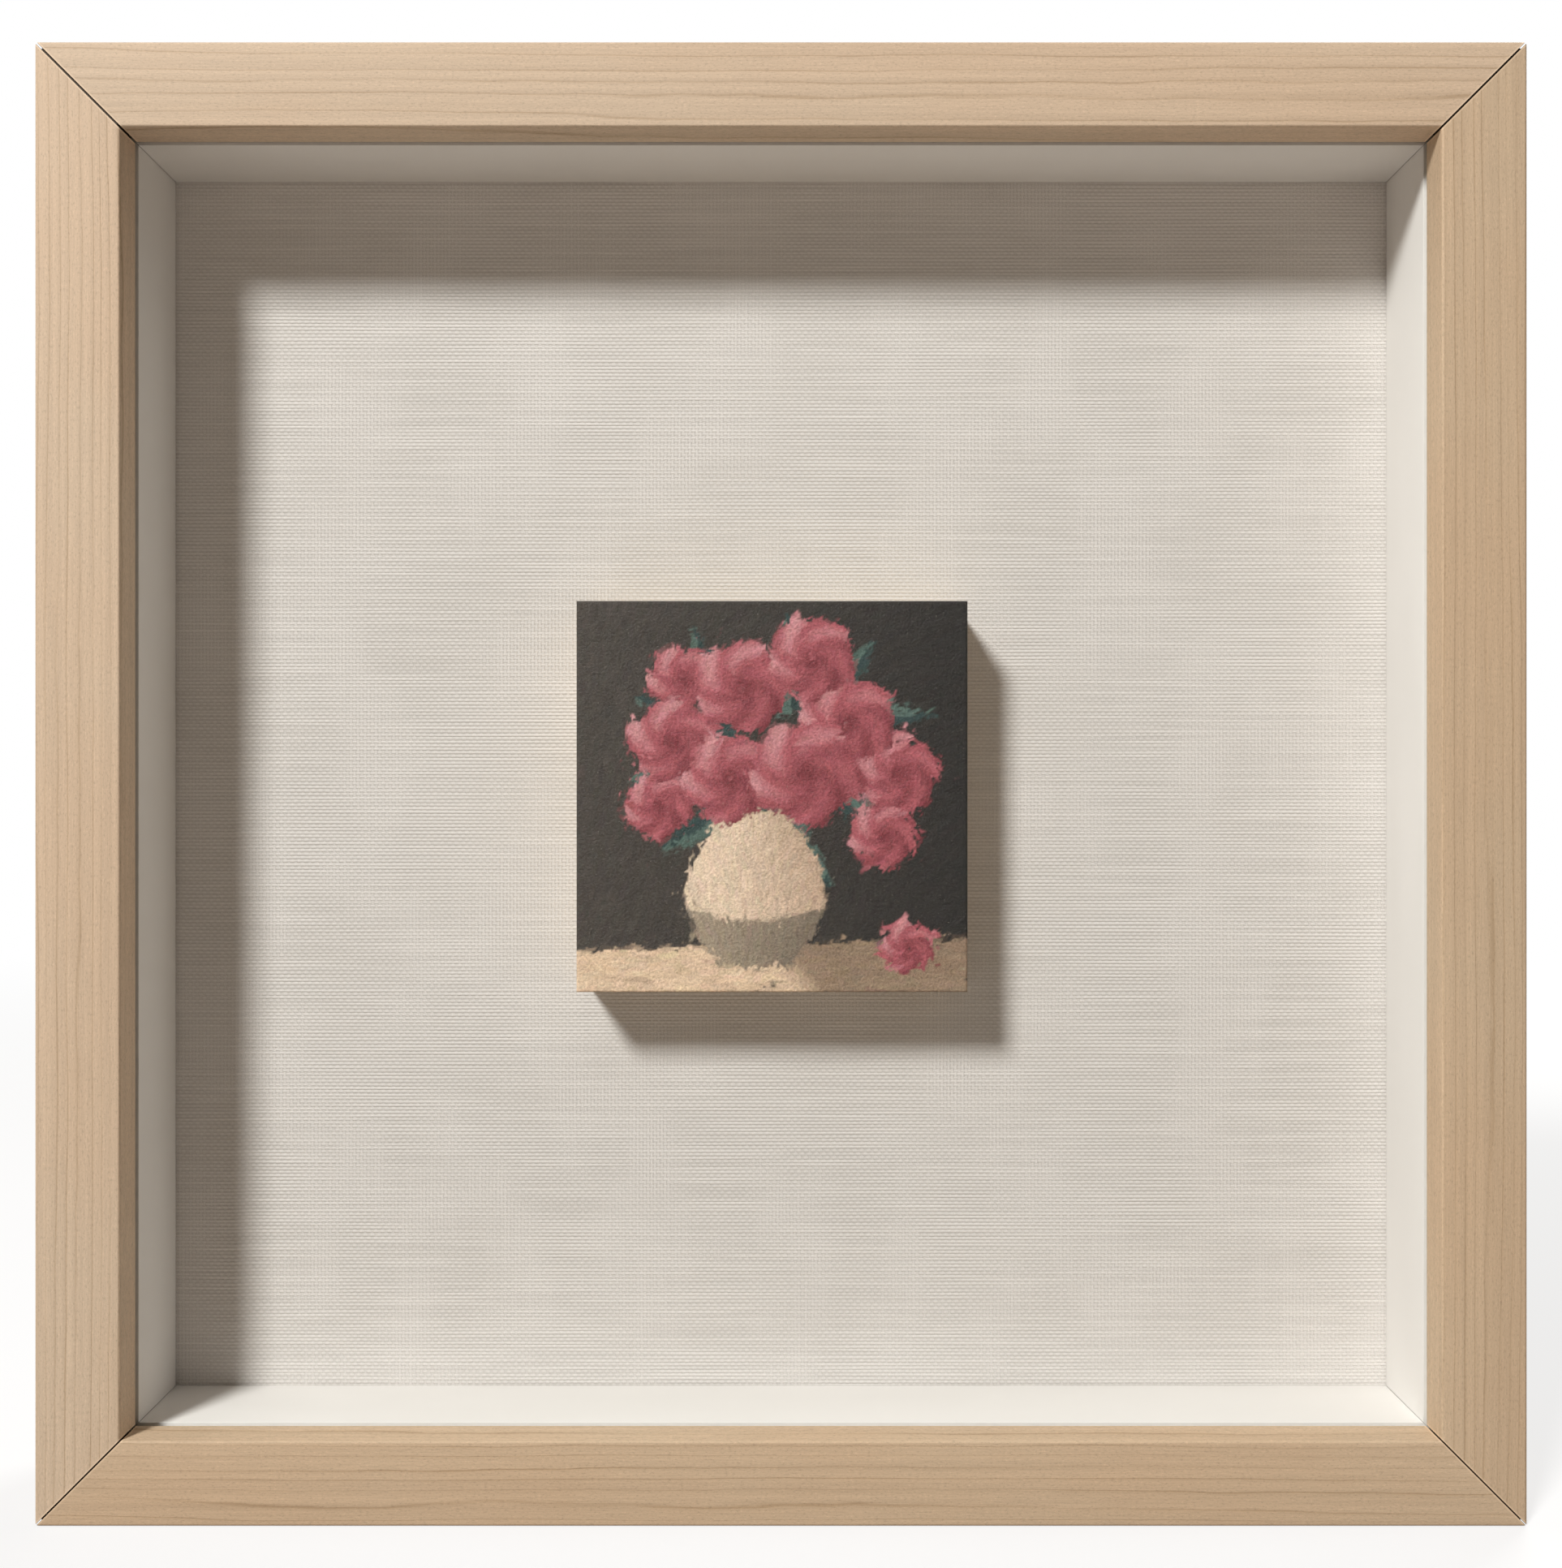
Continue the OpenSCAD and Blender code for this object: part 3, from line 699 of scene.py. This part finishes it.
def still_life(size):
    """What the strokes follow: a bouquet in a plain vase on a table, as colours and stroke directions."""
    y, x = np.mgrid[0:size, 0:size] / (size - 1)
    colour = between(srgb(78, 72, 67), srgb(44, 41, 39), np.clip(0.1 + 0.9 * x, 0, 1))
    angle = 0.9 + 0.5 * np.sin(3 * x + 2 * y)
    table = soft_step(0.105 + 0.03 * x - y, 0, 0.008)
    far = soft_step(x - 0.50 - 0.9 * (0.11 - y), 0.0, 0.12)
    sand = blend_in(np.broadcast_to(srgb(224, 196, 168), colour.shape), srgb(150, 128, 108), far)
    colour = blend_in(colour, sand, table)
    angle = angle * (1 - table) + 0.04 * table
    for k in range(11):
        colour, angle = draw_leaf(colour, angle, x, y, k)
    colour, angle = draw_vase(colour, angle, x, y)
    for at, radius, k in BLOSSOMS:
        colour, angle = draw_blossom(colour, angle, x - at[0], (y - at[1]) * 1.06, radius, k)
    return colour, angle


def draw_vase(colour, angle, x, y):
    """A full-bodied vase, lit from the left, with a shaded lower half."""
    mid_x, foot, lip = 0.455, 0.065, 0.46
    up = np.clip((y - foot) / (lip - foot), 0, 1)
    half = 0.065 + 0.115 * np.sin(math.pi * np.clip(up * 0.86 + 0.10, 0, 1)) ** 1.2
    across = (x - mid_x) / half
    inside = soft_step(1 - np.abs(across), 0, 0.03)
    inside = inside * soft_step(y, foot, 0.008) * soft_step(lip - y, 0, 0.008)
    lit = np.clip(0.74 - 0.42 * across, 0, 1)
    clay = between(srgb(170, 140, 118), srgb(232, 208, 184), lit)
    glaze = between(srgb(104, 93, 82), srgb(158, 143, 125), lit)
    clay = blend_in(clay, glaze, soft_step(0.200 - 0.02 * np.cos(2.2 * across) - y, 0, 0.012))
    turned = angle * (1 - inside) + (math.pi / 2 - across * 0.5) * inside
    return blend_in(colour, clay, inside), turned


def draw_leaf(colour, angle, x, y, k):
    """A pointed leaf that springs from behind the blossoms."""
    turn = 0.30 + k * 0.60
    root = np.array([0.51, 0.60])
    reach = np.array([0.42 - 0.02 * (k % 3), 0.36 + 0.02 * (k % 2)])
    way = reach * np.array([math.cos(turn), math.sin(turn)])
    along = ((x - root[0]) * way[0] + (y - root[1]) * way[1]) / (way ** 2).sum()
    belly = np.sin(math.pi * np.clip(along, 0, 1))
    off = ((y - root[1]) * way[0] - (x - root[0]) * way[1]) / np.linalg.norm(way)
    off = off - 0.04 * math.cos(k * 1.9) * belly
    leaf = soft_step(0.036 * belly ** 0.7 - np.abs(off), 0, 0.006) * ((along > 0.3) & (along < 1))
    green = between(srgb(46, 62, 63), srgb(92, 112, 104), 0.5 + 0.35 * np.sign(off))
    return blend_in(colour, green, leaf), angle * (1 - leaf) + turn * leaf


# Each blossom's middle and radius as shares of the panel's side, and a number that shapes its petals.
BLOSSOMS = [
    ((0.845, 0.115), 0.068, 3), ((0.205, 0.475), 0.085, 1), ((0.785, 0.400), 0.088, 7),
    ((0.270, 0.800), 0.088, 2), ((0.820, 0.560), 0.105, 5), ((0.245, 0.640), 0.110, 4),
    ((0.690, 0.690), 0.120, 9), ((0.420, 0.780), 0.120, 6), ((0.600, 0.850), 0.110, 8),
    ((0.390, 0.545), 0.120, 2), ((0.585, 0.560), 0.140, 1),
]


def draw_blossom(colour, angle, dx, dy, radius, k):
    """A full round blossom with layered petals."""
    rho, phi = np.hypot(dx, dy) / radius, np.arctan2(dy, dx)
    rim = 1 + 0.07 * np.cos(5 * phi + k) + 0.03 * np.cos(11 * phi + 2 * k)
    bloom = soft_step(rim - rho, 0, 0.05)
    petals = 0.5 + 0.5 * np.cos(5 * phi + 7.5 * rho * rim + k)
    light = np.clip(0.60 - 0.42 * dx / radius + 0.42 * dy / radius, 0, 1)
    value = 0.04 + 0.46 * light + 0.42 * petals * rho - 0.25 * np.exp(-(rho / 0.26) ** 2)
    value = np.clip(value, 0, 1)
    deep, rose, pale = srgb(112, 50, 56), srgb(172, 94, 102), srgb(214, 156, 160)
    pink = between(deep, rose, np.clip(value * 2, 0, 1))
    pink = blend_in(pink, pale, np.clip(value * 2 - 1, 0, 1))
    turned = angle * (1 - bloom) + (phi + math.pi / 2 + 0.5 * rho) * bloom
    return blend_in(colour, pink, bloom), turned


def along_edges(idea, angles):
    """Stroke directions turned along the shapes' outlines, and how strong the outlines are."""
    light = idea.mean(axis=2)
    gy, gx = np.gradient(light)
    strength = np.hypot(gx, gy)
    return np.where(strength > 0.012, np.arctan2(gy, gx) + math.pi / 2, angles), strength


def brush(canvas, relief, at, angle, length, width, colour, rng):
    """Lays one bristly stroke on the canvas and its relief, both square arrays."""
    size = canvas.shape[0]
    reach = length / 2 + width
    lo = np.maximum(((np.array(at) - reach) * size).astype(int), 0)
    hi = np.minimum(((np.array(at) + reach) * size).astype(int) + 1, size)
    if (hi <= lo + 1).any():
        return
    y, x = np.mgrid[lo[1]:hi[1], lo[0]:hi[0]] / size
    dx, dy = x - at[0], y - at[1]
    s = (dx * math.cos(angle) + dy * math.sin(angle)) / (length / 2)
    bend = rng.normal(0, 0.10) * width * 4
    t = (-dx * math.sin(angle) + dy * math.cos(angle) + bend * s * s) / (width / 2)
    hairs = max(4, int(width * size / 1.5))
    hair = np.interp(t, np.linspace(-1, 1, hairs), rng.random(hairs))
    body = np.clip((1 - np.abs(t)) * 2.5, 0, 1) * np.clip((1 - np.abs(s)) * 3.5 + hair - 0.45, 0, 1)
    dry = np.clip(1.45 - 0.5 * np.clip(s + 0.4, 0, 1) - 0.35 * hair, 0, 1)
    cover = np.clip(body * dry * 1.15, 0, 1)
    region = (slice(lo[1], hi[1]), slice(lo[0], hi[0]))
    tone = colour * (1 + 0.12 * (hair - 0.5))[..., None]
    canvas[region] = blend_in(canvas[region], tone, cover)
    ridge = 0.35 + 0.65 * hair + 0.35 * np.exp(-((np.abs(t) - 0.85) / 0.15) ** 2)
    relief[region] = relief[region] * (1 - 0.8 * cover) + ridge * cover * 0.8


def paint_canvas(size):
    """Strokes from broad to fine that follow the still life, the last ones along its outlines."""
    rng = np.random.default_rng(5)
    idea, angles = still_life(size)
    contour, strength = along_edges(idea, angles)
    canvas = np.broadcast_to(srgb(58, 54, 51), idea.shape).copy()
    relief = np.full((size, size), 0.3)
    layers = ((420, 0.055, 3.0, 0.30, 0.0), (1500, 0.030, 2.8, 0.20, 0.0), (4200, 0.017, 2.8, 0.12, 0.0),
              (4500, 0.011, 2.8, 0.08, 0.004), (3800, 0.008, 2.8, 0.05, 0.012))
    for count, width, stretch, stray, least in layers:
        for at in rng.random((count, 2)):
            i, j = (np.clip(at[::-1], 0, 0.999) * size).astype(int)
            if strength[i, j] < least * 0.25:
                continue
            jitter = 1 + rng.normal(0, 0.07) + rng.normal(0, 0.018, 3)
            turn = contour[i, j] + rng.normal(0, stray)
            brush(canvas, relief, at, turn, width * stretch * rng.uniform(0.7, 1.3),
                  width * rng.uniform(0.7, 1.2), idea[i, j] * jitter, rng)
    return np.clip(canvas, 0, 1), relief


def make_painting():
    """The painted face: a fine grid whose strokes stand up a little, turned down at its edges."""
    colours, relief = paint_canvas(CANVAS)
    size = CANVAS
    x = np.linspace(PANEL_LO.x, PANEL_HI.x, size)
    z = np.linspace(PANEL_LO.z, PANEL_HI.z, size)
    thick = PANEL_HI.y - PANEL_LO.y
    lift = (0.30 - 0.16 * relief) * MM
    rim = np.minimum(np.arange(size), np.arange(size)[::-1]) * (x[1] - x[0])
    edge = np.minimum(rim[:, None], rim[None, :])
    round_r = 0.5 * MM
    drop = round_r - np.sqrt(np.maximum(round_r ** 2 - np.maximum(round_r - edge, 0) ** 2, 0))
    grid = np.zeros((size, size, 3))
    grid[..., 0], grid[..., 2] = x[None, :], z[:, None]
    grid[..., 1] = PANEL_LO.y + np.minimum(lift * 0.6 + drop * 0.5, thick * 0.9)
    points = grid.reshape(-1, 3).tolist()
    faces = band(grid, closed=False)
    loop = [i * size + j for i, j in grid_rim(size, size)]
    fresh = list(range(len(points), len(points) + len(loop)))
    points += [(points[k][0], PANEL_HI.y, points[k][2]) for k in loop]
    faces += skirt(loop, fresh)
    faces.append(tuple(fresh))
    shades = np.ones((len(points), 4))
    shades[:size * size, :3] = colours.reshape(-1, 3)
    shades[size * size:, :3] = colours.reshape(-1, 3)[loop] * 0.5
    piece = add_piece("painted_surface", points, faces, PAINT, "frame", ["painted_ground"], 80)
    mesh = piece.data
    assert len(mesh.vertices) == len(points), "the painting lost points"
    layer = mesh.color_attributes.new("paint", "FLOAT_COLOR", "POINT")
    layer.data.foreach_set("color", shades.ravel())


make_painting()


# ---------- hardware ----------

SCREW_HEAD_R = 2.5 * MM
SCREW_HEAD_H = 1.6 * MM


def ring_sweep(name, loops, material, node):
    """Joins loops of equally many points into a tube that is closed on itself and moves with its node."""
    points = [p for loop in loops for p in loop]
    add_piece(name, points, band(loops, wrap=True), material, node, [node])


def make_turn_button(node):
    """A stamped button with eased edges, its hole round the pivot."""
    lo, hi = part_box(node)
    pivot = PIVOTS[node]
    middle = (lo + hi) / 2
    way = Vector((middle.x - pivot.x, 0, middle.z - pivot.z)).normalized()
    across = Vector((-way.z, 0, way.x))
    heel = min(hi.x - lo.x, hi.z - lo.z) / 2
    reach = max(hi.x - lo.x, hi.z - lo.z) - 2 * heel
    hole, ease, count = 1.45 * MM, 0.22 * MM, 72

    def outline(inset):
        loop = []
        for turn in full_turn(count):
            push = reach if math.cos(turn) > 0 else 0.0
            spot = way * (math.cos(turn) * (heel - inset) + push) + across * math.sin(turn) * (heel - inset)
            loop.append(pivot + spot)
        return loop

    def bore(radius):
        return [pivot + way * math.cos(t) * radius + across * math.sin(t) * radius for t in full_turn(count)]

    def at(loop, y):
        return [(p.x, y, p.z) for p in loop]

    bevel = ease * 0.3
    loops = [at(outline(ease), lo.y), at(outline(bevel), lo.y + bevel), at(outline(0), lo.y + ease),
             at(outline(0), hi.y - ease), at(outline(bevel), hi.y - bevel), at(outline(ease), hi.y),
             at(bore(hole + ease), hi.y), at(bore(hole), hi.y - ease), at(bore(hole), lo.y + ease),
             at(bore(hole + ease), lo.y)]
    ring_sweep("plated_" + node, loops, ZINC, node)


def make_screws(name, spots, seat, node):
    """Pan-head wood screws with a cross recess; spots are their axes, seat the plane under their heads."""
    shank_r, shank_l, rim_h = 1.4 * MM, 6 * MM, 0.55 * MM
    slot_w, slot_l, slot_d = 0.34 * MM, 1.35 * MM, 0.9 * MM
    side_slope, end_slope = 0.12 * MM, 0.5 * MM
    around, rings = 96, 30
    points, faces = [], []

    def arm(across, along):
        """How deep one arm of the recess is at a point, from 1 at its floor to below 0 outside it."""
        return min((slot_w - across) / side_slope, (slot_l - along) / end_slope, 1)

    for number, (x, z) in enumerate(spots):
        twist = 0.7 * number + 0.4
        loops = []
        profile = [(shank_r, -shank_l), (shank_r, 0.0), (SCREW_HEAD_R, 0.0), (SCREW_HEAD_R, rim_h)]
        for radius, height in profile:
            loops.append([(radius * math.cos(t), seat + height, radius * math.sin(t))
                          for t in full_turn(around)])
        for i in range(rings + 1):
            radius = SCREW_HEAD_R * (1 - i / rings) * 0.999 + 1e-6
            dome = rim_h + (SCREW_HEAD_H - rim_h) * (1 - (radius / SCREW_HEAD_R) ** 3.2)
            loop = []
            for t in full_turn(around):
                px, pz = radius * math.cos(t), radius * math.sin(t)
                a = abs(px * math.cos(twist) + pz * math.sin(twist))
                b = abs(-px * math.sin(twist) + pz * math.cos(twist))
                fall = max(arm(a, b), arm(b, a), 0)
                loop.append((px, seat + dome - slot_d * fall, pz))
            loops.append(loop)
        base = len(points)
        points += [(x + px, y, z + pz) for loop in loops for px, y, pz in loop]
        faces += [tuple(base + i for i in face) for face in capped_band(loops)]
    add_piece(name, points, faces, STEEL, "frame", [node], 40)


def make_ring(node):
    """A hanging ring bent from one wire into a D, its bar in the strap."""
    lo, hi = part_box(node)
    pivot = PIVOTS[node]
    wire = (hi.y - lo.y) / 2
    half = (hi.x - lo.x) / 2 - wire
    leg = hi.z - pivot.z - wire - half
    bend, around = 0.9 * MM, 20
    quarter, crown = np.linspace(0, math.pi / 2, 6), np.linspace(-math.pi / 2, math.pi / 2, 33)
    path = [(-half + bend * (1 - math.sin(t)), bend * (1 - math.cos(t))) for t in quarter]
    path += [(half * math.sin(t), leg + half * math.cos(t)) for t in crown]
    path += [(half - bend * (1 - math.cos(t)), bend * (1 - math.sin(t))) for t in quarter]
    path += [(x, 0.0) for x in np.linspace(half - bend, -half + bend, 9)[1:-1]]
    loops = []
    for k, (x, z) in enumerate(path):
        before, after = path[k - 1], path[(k + 1) % len(path)]
        way = Vector((after[0] - before[0], 0, after[1] - before[1])).normalized()
        side = Vector((-way.z, 0, way.x))
        centre = pivot + Vector((x, 0, z))
        loops.append([centre + side * math.cos(t) * wire + Vector((0, math.sin(t) * wire, 0))
                      for t in full_turn(around)])
    ring_sweep("wire_" + node, loops, NICKEL, node)


def make_bumper(node):
    """A moulded round bumper with a soft edge."""
    lo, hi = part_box(node)
    middle, radius, thick = (lo + hi) / 2, (hi.x - lo.x) / 2, hi.y - lo.y
    soft, foot_h = 1.0 * MM, 0.2 * MM
    profile = [(radius * 0.97, 0.0), (radius, foot_h)]
    for k in range(9):
        t = math.pi / 2 * k / 8
        profile.append((radius - soft + soft * math.cos(t), thick - soft + soft * math.sin(t)))
    profile += [(radius * share, thick) for share in (0.6, 0.3, 0.02)]
    loops = [[(middle.x + r * math.cos(t), lo.y + h, middle.z + r * math.sin(t)) for t in full_turn(64)]
             for r, h in profile]
    points = [p for loop in loops for p in loop]
    add_piece("soft_" + node, points, capped_band(loops), RUBBER, "frame", [node])


for node in frame["nodes"]:
    if node.startswith("turn_button_") and node != "turn_button_screws":
        make_turn_button(node)
for node in ("hanger_ring_left", "hanger_ring_right"):
    make_ring(node)
for node in ("wall_bumper_left", "wall_bumper_right"):
    make_bumper(node)

button_spots = [(p.x, p.z) for n, p in PIVOTS.items() if n.startswith("turn_button_")]
make_screws("button_screws", button_spots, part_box("turn_button_top_left")[1].y, "turn_button_screws")
screws_lo, screws_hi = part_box("hanger_screws")
strap_spots = []
for ring in ("hanger_ring_left", "hanger_ring_right"):
    for height in (screws_hi.z - SCREW_HEAD_R, screws_lo.z + SCREW_HEAD_R):
        strap_spots.append((PIVOTS[ring].x, height))
make_screws("strap_screws", strap_spots, screws_hi.y - SCREW_HEAD_H, "hanger_screws")


# ---------- finishes of the CAD nodes that stay ----------

def finish_node(names, material):
    """Gives CAD nodes that stay as they are a material of their own."""
    for name in names:
        mesh = frame["nodes"][name].data
        mesh.materials.clear()
        mesh.materials.append(material)


finish_node(["glazing"], GLASS)
finish_node(["mount_board"], MUSEUM_BOARD)
finish_node(["filler_board"], CORRUGATED)
finish_node(["backing_board"], HARDBOARD)
finish_node(["panel_face", "mounting_block"] + ["cradle_" + side for side in SIDES], PLY)
finish_node(["v_nails", "panel_screws", "panel_washers"], STEEL)
finish_node(["hanger_strap_left", "hanger_strap_right"], NICKEL)


# ---------- floor, light and camera ----------

def backdrop_share(sh):
    """1 for rays that show the backdrop: from the camera, in gloss and through glass."""
    path = sh.node("LightPath").outputs
    seen = sh.math("MAXIMUM", path["Is Camera Ray"], path["Is Glossy Ray"])
    return sh.math("MAXIMUM", seen, path["Is Transmission Ray"])


def make_floor():
    """A floor that fades into white with distance; its bounce is muted, so that recesses stay dark."""
    sh = new_material("pale_floor")
    where = sh.place()
    grain = sh.noise(sh.scaled(where, (6, 6, 6)), detail=3)
    seen = backdrop_share(sh)
    pale = sh.mix(grain, (0.80, 0.80, 0.80), (0.83, 0.83, 0.83))
    far = sh.node("VectorMath", {0: where}, operation="LENGTH").outputs["Value"]
    share = sh.remap(far, 0.45, 1.5, 0.70, 1.0)
    muted = sh.node("BsdfDiffuse", {"Color": (0.36, 0.31, 0.27, 1)})
    plain = sh.node("BsdfDiffuse", {"Color": pale})
    white = sh.node("Emission", {"Color": (1, 1, 1, 1), "Strength": 1.0})
    shown = sh.blend(share, plain, white)
    mesh = bpy.data.meshes.new("floor")
    reach = 6.0
    corners = [(-reach, -reach, 0), (reach, -reach, 0), (reach, reach, 0), (-reach, reach, 0)]
    mesh.from_pydata(corners, [], [(0, 1, 2, 3)])
    mesh.materials.append(sh.show(sh.blend(seen, muted, shown)))
    floor = bpy.data.objects.new("floor", mesh)
    bpy.context.scene.collection.objects.link(floor)
    floor.location.z = RAIL_LO.z - 0.05 * MM


def make_world():
    """Faint warm light on the object, and white wherever the backdrop is seen."""
    world = bpy.data.worlds.new("studio")
    bpy.context.scene.world = world
    sh = Shader(world, "OutputWorld")
    soft = sh.node("Background", {"Color": (1.0, 0.87, 0.73, 1), "Strength": 0.13})
    white = sh.node("Background", {"Color": (1, 1, 1, 1), "Strength": 1.0})
    sh.show(sh.blend(backdrop_share(sh), soft, white))


def add_lamp(name, direction, distance, size, watts, colour):
    """A round lamp that looks at the object's middle from a direction."""
    data = bpy.data.lights.new(name, "AREA")
    data.shape = "DISK"
    data.size = size
    data.energy = watts
    data.color = colour
    lamp = bpy.data.objects.new(name, data)
    bpy.context.scene.collection.objects.link(lamp)
    way = Vector(direction).normalized()
    lamp.location = MID + way * distance
    lamp.rotation_mode = "QUATERNION"
    lamp.rotation_quaternion = way.to_track_quat("Z", "Y")


def make_camera():
    """Straight on to the frame's middle, and near enough for the steps of its edges to show."""
    data = bpy.data.cameras.new("camera")
    data.sensor_width = 36.0
    distance, view_height = 371 * MM, 385.2 * MM
    data.lens = data.sensor_width * distance / view_height
    data.clip_start = 0.01
    camera = bpy.data.objects.new("camera", data)
    bpy.context.scene.collection.objects.link(camera)
    camera.location = (MID.x, Y_FRONT - distance, MID.z)
    camera.rotation_euler = (math.pi / 2, 0, 0)
    bpy.context.scene.camera = camera


make_floor()
make_world()
add_lamp("key", (-1.48, -2.2, 2.08), distance=3.37, size=0.66, watts=128, colour=(1.0, 0.985, 0.97))
add_lamp("back_fill", (0.8, 1.0, 0.9), distance=2.2, size=1.2, watts=34, colour=(1.0, 0.99, 0.97))
make_camera()
bpy.context.scene.view_settings.view_transform = "Standard"
